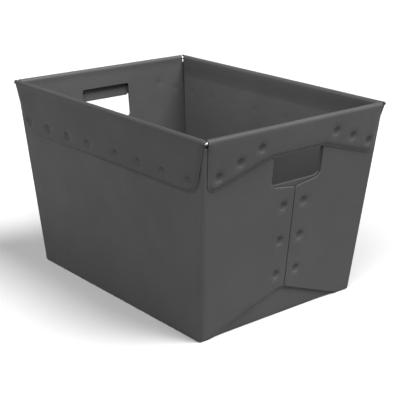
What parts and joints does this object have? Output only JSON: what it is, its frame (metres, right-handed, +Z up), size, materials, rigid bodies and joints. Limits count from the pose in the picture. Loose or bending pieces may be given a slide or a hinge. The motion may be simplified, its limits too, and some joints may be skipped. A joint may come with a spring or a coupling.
{
  "type": "nesting tote",
  "caption": "Open tapered tote folded from sheet plastic, with welded rim flaps rolled over a steel wire ring and a hand hole in each end.",
  "frame": {"origin": "centre of the underside of the floor panel", "axes": "+Z up, X along the length with the front end at +X, Y across the width with the right side at +Y"},
  "size_m": [0.47, 0.344, 0.298],
  "materials": {
    "sheet": "satin dark grey polypropylene sheet",
    "weld": "smooth dark grey fused polypropylene",
    "wire": "bright drawn steel wire"
  },
  "bodies": {
    "root": {"floor_panel": "sheet", "left_side_wall": "sheet", "right_side_wall": "sheet", "front_left_end_flap": "sheet", "front_right_end_flap": "sheet", "rear_left_end_flap": "sheet", "rear_right_end_flap": "sheet", "front_inner_panel": "sheet", "rear_inner_panel": "sheet", "left_rim_flap": "sheet", "right_rim_flap": "sheet", "front_rim_flap": "sheet", "rear_rim_flap": "sheet", "rim_wire": "wire", "left_rim_welds": "weld", "right_rim_welds": "weld", "front_rim_welds": "weld", "rear_rim_welds": "weld", "front_seam_welds": "weld", "rear_seam_welds": "weld"}
  },
  "joints": []
}
